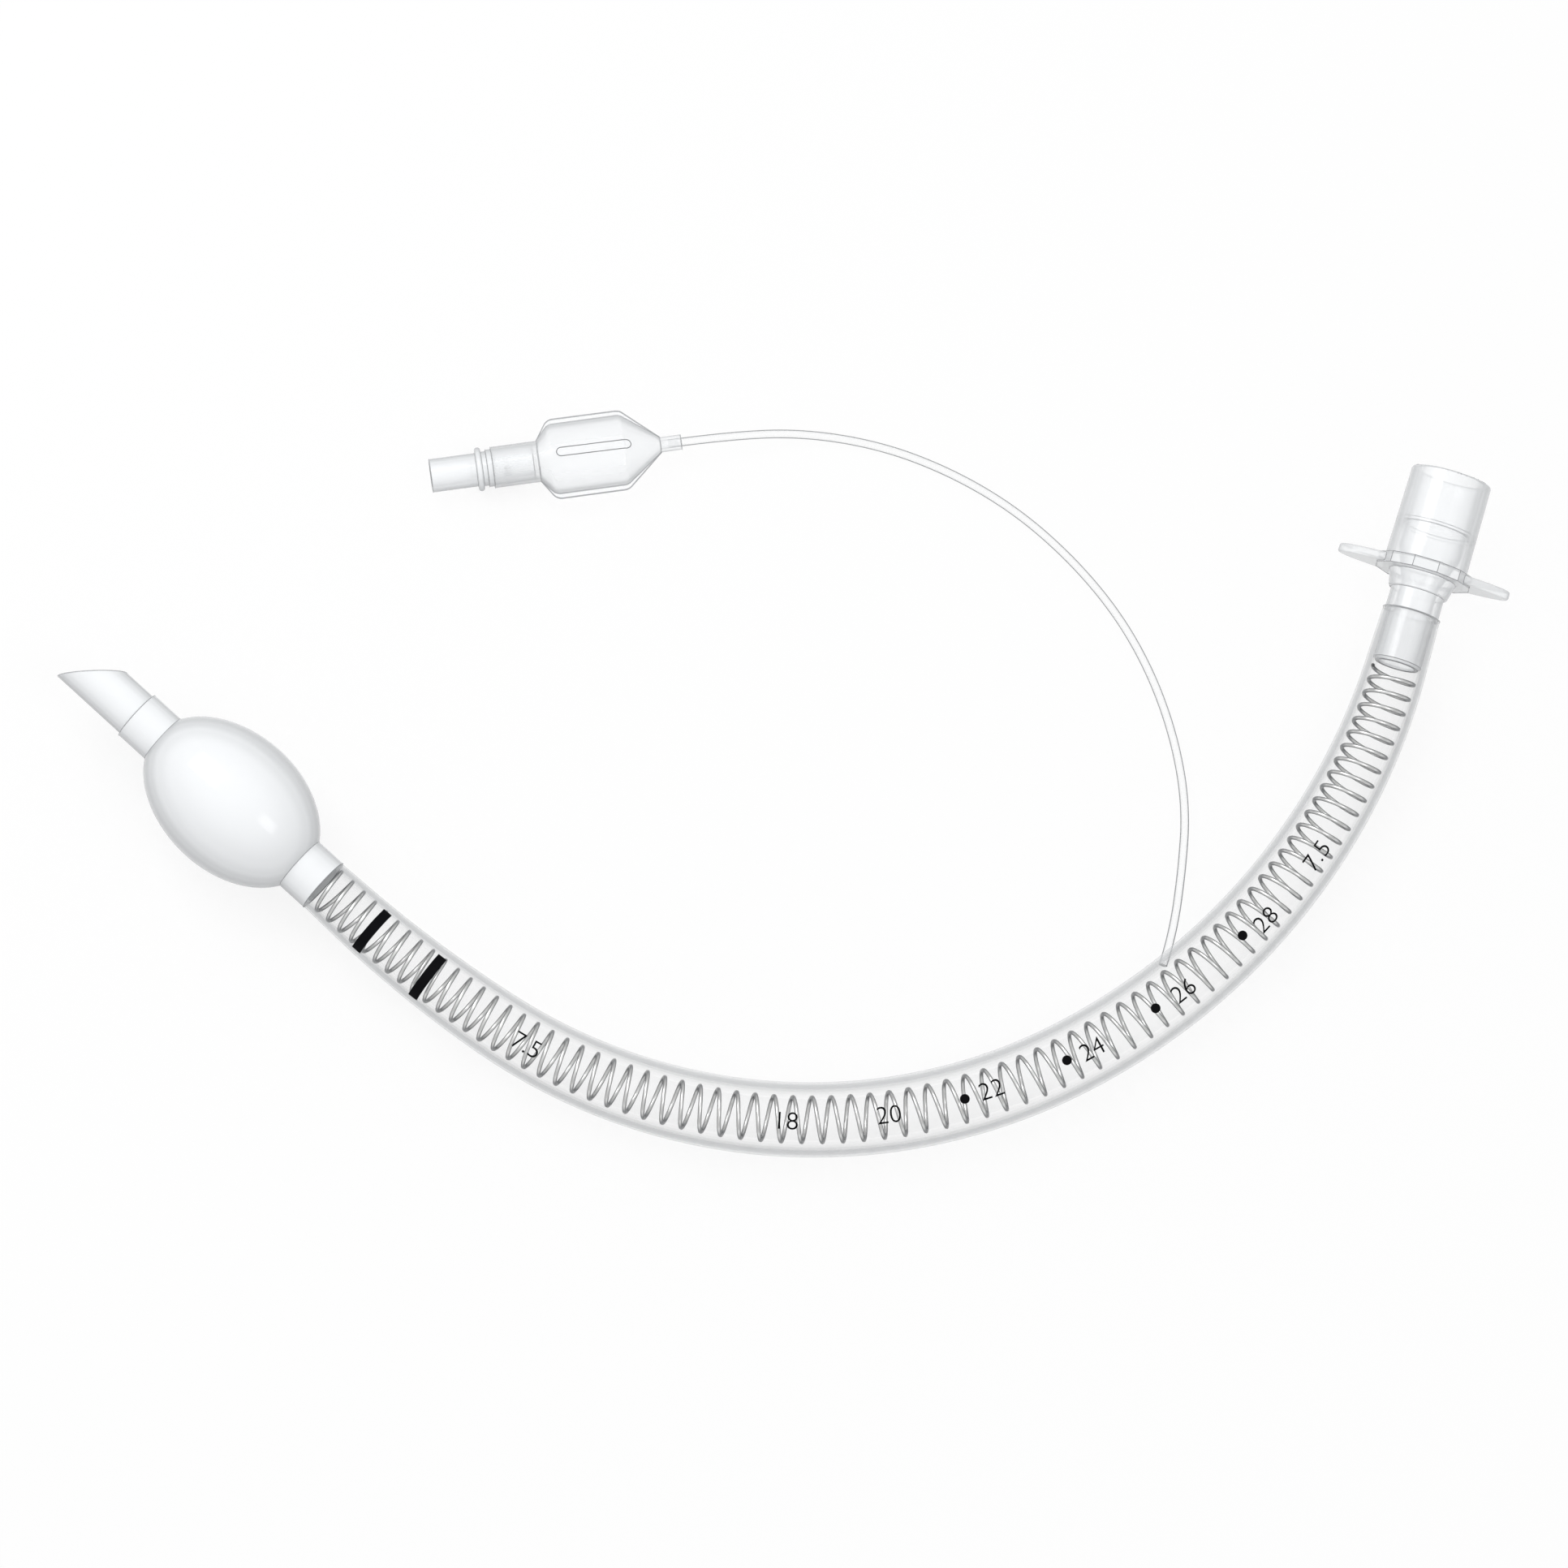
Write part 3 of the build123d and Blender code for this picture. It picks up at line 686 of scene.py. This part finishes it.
class ETT_OT_shaft(bpy.types.Operator):
    """The clear tube with its bore and the seat of the connector's stem"""

    bl_idname = "ett.shaft"
    bl_label = "Tube shaft"

    def execute(self, context):
        s = settings("ett_shaft")
        length = tube_length()
        stem = length - s.seat_length
        profile = [(at, shaft_diameter(at) / 2) for at in spread(s.start, length, SHAFT_STEPS)]
        profile += [(at, s.seat_diameter / 2) for at in spread(length, stem, SEAT_STEPS)]
        profile += [(at, s.bore / 2) for at in spread(stem, s.start, BORE_STEPS)]
        places = axis_places([at for at, _ in profile])
        radii = [radius for _, radius in profile]
        rings = [ring(place, radius, SHAFT_SEGMENTS) for place, radius in zip(places, radii)]
        mesh = rings_mesh("tube_shaft_clear", rings, closed_loop=True)
        # Painted shade and painted light: the clear wall darkens as it is seen at a slant and
        # lightens again in a band near its outline.
        tones = [
            (0.0, cool(225)),
            (0.25, cool(190)),
            (0.44, cool(197)),
            (0.56, cool(204)),
            (0.72, cool(232)),
            (1.0, cool(225)),
        ]
        cover = [
            (0.0, 0.04),
            (0.17, 0.05),
            (0.23, 0.08),
            (0.29, 0.14),
            (0.36, 0.28),
            (0.46, 0.5),
            (0.56, 0.52),
            (0.72, 0.36),
            (1.0, 0.5),
        ]
        skin = film("clear_silicone", tones, cover, 0.12, 60.0, 0.04, shadow=0.15)
        mesh.materials.append(skin)
        # The bore's film takes the same painted shade and light.
        bore_cover = [(0.0, 0.02), (0.7, 0.03), (1.0, 0.06)]
        bore = film("clear_silicone_bore", tones, bore_cover, 0.2, 60.0, 0.04, shadow=0.15)
        mesh.materials.append(bore)
        outside = (SHAFT_STEPS + 1) * SHAFT_SEGMENTS
        for face in mesh.polygons:
            if min(face.vertices) >= outside:
                face.material_index = 1
        add_object("tube_shaft_clear", mesh, "tube", ["tube_shaft", "shaft_collar"])
        return {"FINISHED"}


class ETT_OT_wire(bpy.types.Operator):
    """The round wire of the reinforcing coil"""

    bl_idname = "ett.wire"
    bl_label = "Reinforcing wire"

    def execute(self, context):
        s = settings("ett_wire")
        last = tube_length() - settings("ett_shaft").seat_length - s.end_gap
        steps = COIL_STEPS_PER_TURN
        stations = []
        for part in spread(0.0, 1.0, s.turns * steps):
            part -= s.widening * sin(2 * pi * part) / (2 * pi)
            stations.append(s.start + (last - s.start) * part)
        climb = atan2(last - s.start, 2 * pi * s.radius * s.turns)
        rings = []
        for k, place in enumerate(axis_places(stations)):
            angle = 2 * pi * k / steps
            out = Vector((cos(angle), sin(angle), 0.0))
            around = Vector((-sin(angle), cos(angle), 0.0))
            across = around * sin(climb) - Vector((0.0, 0.0, cos(climb)))
            middle = out * s.radius
            loop = []
            for j in range(COIL_SIDES):
                a = 2 * pi * j / COIL_SIDES
                side = (out * cos(a) + across * sin(a)) * s.thickness / 2
                loop.append(place @ (middle + side))
            rings.append(loop)
        mesh = rings_mesh("reinforcing_coil", rings)
        # Its finish paints shade on the wire's sides.
        mesh.materials.append(metal("drawn_steel", s.colour, s.painted_shade_colour, 0.28))
        add_object("reinforcing_coil", mesh, "tube", ["spiral_wire"])
        return {"FINISHED"}


class ETT_OT_print(bpy.types.Operator):
    """Bands, dots and figures printed on the shaft"""

    bl_idname = "ett.print"
    bl_label = "Depth marks"

    # Each mark's place along the tube, and its turn from the top towards the inside
    figures = (
        ("7.5", 0.1096, -13),
        ("18", 0.1586, -13),
        ("20", 0.1772, -10),
        ("22", 0.1963, -7),
        ("24", 0.2160, -12),
        ("26", 0.2357, -14),
        ("28", 0.2554, -21),
        ("7.5", 0.2703, -21),
    )
    dots = ((0.1912, -8), (0.2110, -8), (0.2297, -9), (0.2504, -10))
    bands = ((0.0744, -12), (0.0876, -13))

    def execute(self, context):
        s = settings("ett_print")
        ink = plain("print_ink", s.colour, 0.6)
        ink.node_tree.nodes["Principled BSDF"].inputs["Specular IOR Level"].default_value = 0.05
        for k, (text, along, turned) in enumerate(self.figures):
            self.lay(self.letter(text, s), f"figure_{k + 1}", along, turned, ink, s)
        for k, (along, turned) in enumerate(self.dots):
            self.lay(self.disc(s.dot / 2), f"depth_dot_{k + 1}", along, turned, ink, s)
        for k, (along, turned) in enumerate(self.bands):
            mesh = self.strip(s.band_width, s.band_length)
            self.lay(mesh, f"band_{k + 1}", along, turned, ink, s)
        return {"FINISHED"}

    def letter(self, text, s):
        curve = bpy.data.curves.new("figure", "FONT")
        curve.body = text
        curve.size = s.glyph / FIGURE_SHARE
        curve.offset = -s.thinning
        curve.align_x = "CENTER"
        curve.align_y = "CENTER"
        curve.resolution_u = 8
        holder = bpy.data.objects.new("figure", curve)
        mesh = bpy.data.meshes.new_from_object(holder)
        bpy.data.objects.remove(holder)
        return self.cut(mesh)

    def cut(self, mesh):
        """Cuts a flat mesh finely enough to bend round the tube."""
        bm = bmesh.new()
        bm.from_mesh(mesh)
        for axis in ((1, 0, 0), (0, 1, 0)):
            for k in range(-CUTS_EACH_WAY, CUTS_EACH_WAY + 1):
                parts = bm.verts[:] + bm.edges[:] + bm.faces[:]
                place = Vector(axis) * CUT_STEP * k
                bmesh.ops.bisect_plane(bm, geom=parts, plane_co=place, plane_no=axis)
        bm.to_mesh(mesh)
        bm.free()
        return mesh

    def disc(self, radius):
        bm = bmesh.new()
        bmesh.ops.create_circle(bm, cap_ends=True, segments=32, radius=radius)
        mesh = bpy.data.meshes.new("depth_dot")
        bm.to_mesh(mesh)
        bm.free()
        return self.cut(mesh)

    def strip(self, width, length):
        bm = bmesh.new()
        bmesh.ops.create_grid(bm, x_segments=4, y_segments=40, size=0.5)
        bmesh.ops.scale(bm, vec=(width, length, 1.0), verts=bm.verts)
        mesh = bpy.data.meshes.new("band")
        bm.to_mesh(mesh)
        bm.free()
        return mesh

    def lay(self, mesh, name, along, turned, ink, s):
        """Bends a flat mesh round the top of the tube: x runs along it, y inward."""
        mesh.name = name
        places = axis_places([along + v.co.x for v in mesh.vertices])
        for v, place in zip(mesh.vertices, places):
            radius = shaft_diameter(along + v.co.x) / 2 + s.lift
            angle = pi / 2 - radians(turned) - v.co.y / radius
            v.co = place @ Vector((radius * cos(angle), radius * sin(angle), 0.0))
        mesh.materials.clear()
        mesh.materials.append(ink)
        smooth(mesh)
        add_object(name, mesh, "tube")


class ETT_OT_edges(bpy.types.Operator):
    """Dark beads of painted shade along the edges of the moulded pieces"""

    bl_idname = "ett.edges"
    bl_label = "Moulded edges"

    def execute(self, context):
        s = settings("ett_edge")
        # Each solid's sharp edges get a thin dark bead: painted shade, where the plastic is seen
        # darker along its edges.
        for node, slot, tone, cover in (
            ("airway_connector", "clear_connector", 140, 0.62),
            ("cuff", "cuff_film", 150, 0.75),
            ("bevel_tip", "milky_tube", 165, 0.7),
            ("pilot_balloon", "balloon_film", 165, 0.6),
            ("valve_body", "valve_plastic", 150, 0.6),
        ):
            tones = [(0.0, cool(tone)), (1.0, cool(tone + 40))]
            bead = film(f"{node}_edge", tones, [(0.0, cover), (1.0, cover * 0.5)], 0.25)
            chains = self.sharp_edges(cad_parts[node], s.least_turn)
            add_beads(f"{node}_edges", chains, s.radius, bead)
        # Painted shade lines round the tube's mouth, where its outer and inner rims show through
        # the connector.
        shaft = settings("ett_shaft")
        length = tube_length()
        mouth = axis_places([length])[0]
        widths = (shaft_diameter(length), shaft.seat_diameter)
        rims = [(ring(mouth, width / 2, RIM_SEGMENTS), True) for width in widths]
        tones = [(0.0, cool(170)), (1.0, cool(200))]
        bead = film("tube_mouth_shade_line", tones, [(0.0, 0.5), (1.0, 0.3)], 0.25)
        add_beads("tube_mouth_shade_lines", rims, s.radius, bead)
        # Painted shade lines across the cone, where the socket's step inside it shows through.
        heights = [length + s.step_height + side * s.step_gap / 2 for side in (-1, 1)]
        places = axis_places(heights)
        step = [(ring(place, s.step_radius, RIM_SEGMENTS), True) for place in places]
        tones = [(0.0, cool(140)), (1.0, cool(180))]
        bead = film("socket_step_shade_line", tones, [(0.0, 0.6), (1.0, 0.4)], 0.25)
        add_beads("socket_step_shade_lines", step, s.radius, bead)
        return {"FINISHED"}

    def sharp_edges(self, piece, least_turn):
        """Chains of points along a solid's sharp edges, and whether each one is closed."""
        bm = bmesh.new()
        bm.from_mesh(piece.data)
        bm.transform(piece.matrix_world)
        bmesh.ops.remove_doubles(bm, verts=bm.verts, dist=1e-6)
        sharp = set()
        for edge in bm.edges:
            if len(edge.link_faces) == 2 and edge.calc_face_angle() > least_turn:
                sharp.add(edge)
        ends = [v for v in bm.verts if len(sharp.intersection(v.link_edges)) not in (0, 2)]
        chains = []
        for start in ends + bm.verts[:]:
            for first in sharp.intersection(start.link_edges):
                if first in sharp:
                    chains.append(self.follow(start, first, sharp, ends))
        bm.free()
        return chains

    def follow(self, start, edge, sharp, ends):
        points = [start.co.copy()]
        at = start
        while edge:
            sharp.discard(edge)
            at = edge.other_vert(at)
            if at is start:
                return points, True
            points.append(at.co.copy())
            onward = [] if at in ends else [e for e in at.link_edges if e in sharp]
            edge = onward[0] if onward else None
        return points, False


class ETT_OT_window(bpy.types.Operator):
    """The long outlined window on the pilot balloon"""

    bl_idname = "ett.window"
    bl_label = "Balloon window"

    def execute(self, context):
        s = settings("ett_window")
        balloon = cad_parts["pilot_balloon"]
        half = (s.length - s.width) / 2
        outline = []
        for side in (1, -1):
            outline += [(side * x, -side * s.width / 2) for x in spread(-half, half, 24)]
            for a in spread(-pi / 2, pi / 2, 12)[1:-1]:
                x, y = half + s.width / 2 * cos(a), s.width / 2 * sin(a)
                outline.append((side * x, side * y))
        points = []
        for x, y in outline:
            above = Vector((s.place_x, s.place_y, 2 * CAD_BOX[1][2]))
            above.x += x * cos(s.heading) - y * sin(s.heading)
            above.y += x * sin(s.heading) + y * cos(s.heading)
            hit, place, _, _ = balloon.ray_cast(above, Vector((0.0, 0.0, -1.0)))
            if not hit:
                raise RuntimeError("the window lies outside the balloon")
            points.append(place + Vector((0.0, 0.0, s.outline / 2)))
        tones = [(0.0, cool(115)), (1.0, cool(150))]
        bead = film("window_outline", tones, [(0.0, 0.95), (1.0, 0.7)], 0.3)
        add_beads("balloon_window", [(points, True)], s.outline, bead)
        return {"FINISHED"}


class ETT_OT_finishes(bpy.types.Operator):
    """Finishes of the solids that are shown as they are"""

    bl_idname = "ett.finishes"
    bl_label = "Finishes"

    def execute(self, context):
        # Painted shade: the cuff greys towards its outline and lightens a little at the very rim.
        cuff_painted_shade = [
            (0.0, cool(255)),
            (0.2, cool(251)),
            (0.37, cool(240)),
            (0.52, cool(222)),
            (0.68, cool(206)),
            (0.85, cool(210)),
            (1.0, cool(232)),
        ]
        cuff_cover = [(0.0, 0.9), (0.6, 0.97), (1.0, 1.0)]
        dress("cuff", film("cuff_film", cuff_painted_shade, cuff_cover, 0.1, 90.0, 0.1))
        # Painted shade: the milky tip and the valve body grey towards their outline.
        milky_painted_shade = [
            (0.0, cool(255)),
            (0.15, cool(253)),
            (0.3, cool(243)),
            (0.5, cool(222)),
            (0.7, cool(198)),
            (1.0, cool(180)),
        ]
        milky = film("milky_vinyl", milky_painted_shade, [(0.0, 0.85), (1.0, 1.0)], 0.2, 150.0, 0.08)
        dress("bevel_tip", milky)
        valve = film("valve_resin", milky_painted_shade, [(0.0, 0.75), (1.0, 1.0)], 0.15, shadow=0.1)
        dress("valve_body", valve)
        # Painted shade: the clear connector greys towards its outline.
        clear_painted_shade = [
            (0.0, cool(255)),
            (0.2, cool(254)),
            (0.34, cool(243)),
            (0.44, cool(226)),
            (0.6, cool(210)),
            (0.75, cool(214)),
            (1.0, cool(205)),
        ]
        clear_cover = [(0.0, 0.4), (0.3, 0.45), (0.5, 0.7), (1.0, 0.85)]
        resin = film("clear_resin", clear_painted_shade, clear_cover, 0.06, 150.0, 0.05, 1.0, 0.08)
        dress("airway_connector", resin)
        # Painted shade: the balloon greys towards its outline.
        balloon_painted_shade = [
            (0.0, cool(255)),
            (0.3, cool(253)),
            (0.5, cool(228)),
            (0.7, cool(205)),
            (1.0, cool(205)),
        ]
        balloon_cover = [(0.0, 0.25), (0.25, 0.28), (0.5, 0.45), (0.7, 0.65), (1.0, 0.8)]
        balloon = film("balloon_film", balloon_painted_shade, balloon_cover, 0.12, 150.0, 0.08, shadow=0.08)
        dress("pilot_balloon", balloon)
        white = plain("white_resin", (0.85, 0.86, 0.87), 0.45)
        dress("valve_poppet", white)
        dress("valve_cage", white)
        dress("valve_seal", plain("pale_rubber", (0.75, 0.76, 0.77), 0.6))
        return {"FINISHED"}


class ETT_PT_panel(bpy.types.Panel):
    """Lists the steps that build the looks"""

    bl_idname = "ETT_PT_panel"
    bl_label = "Endotracheal Tube"
    bl_space_type = "VIEW_3D"
    bl_region_type = "UI"
    bl_category = "Airway"

    def draw(self, context):
        for step in STEPS:
            self.layout.operator(step.bl_idname)


SETTINGS = {
    "ett_axis": AxisSettings,
    "ett_shaft": ShaftSettings,
    "ett_wire": WireSettings,
    "ett_print": PrintSettings,
    "ett_line": LineSettings,
    "ett_edge": EdgeSettings,
    "ett_window": WindowSettings,
    "ett_valve": ValveSettings,
    "ett_rest": RestSettings,
    "ett_stage": StageSettings,
}
STEPS = (
    ETT_OT_stage,
    ETT_OT_valve_spring,
    ETT_OT_line,
    ETT_OT_shaft,
    ETT_OT_wire,
    ETT_OT_print,
    ETT_OT_edges,
    ETT_OT_window,
    ETT_OT_finishes,
)


def register():
    for name, group in SETTINGS.items():
        bpy.utils.register_class(group)
        setattr(bpy.types.Scene, name, PointerProperty(type=group))
    for step in STEPS:
        bpy.utils.register_class(step)
    bpy.utils.register_class(ETT_PT_panel)


def unregister():
    bpy.utils.unregister_class(ETT_PT_panel)
    for step in reversed(STEPS):
        bpy.utils.unregister_class(step)
    for name, group in SETTINGS.items():
        delattr(bpy.types.Scene, name)
        bpy.utils.unregister_class(group)


def main():
    register()
    for step in STEPS:
        group, operator = step.bl_idname.split(".")
        getattr(getattr(bpy.ops, group), operator)()


if __name__ == "__main__":
    main()
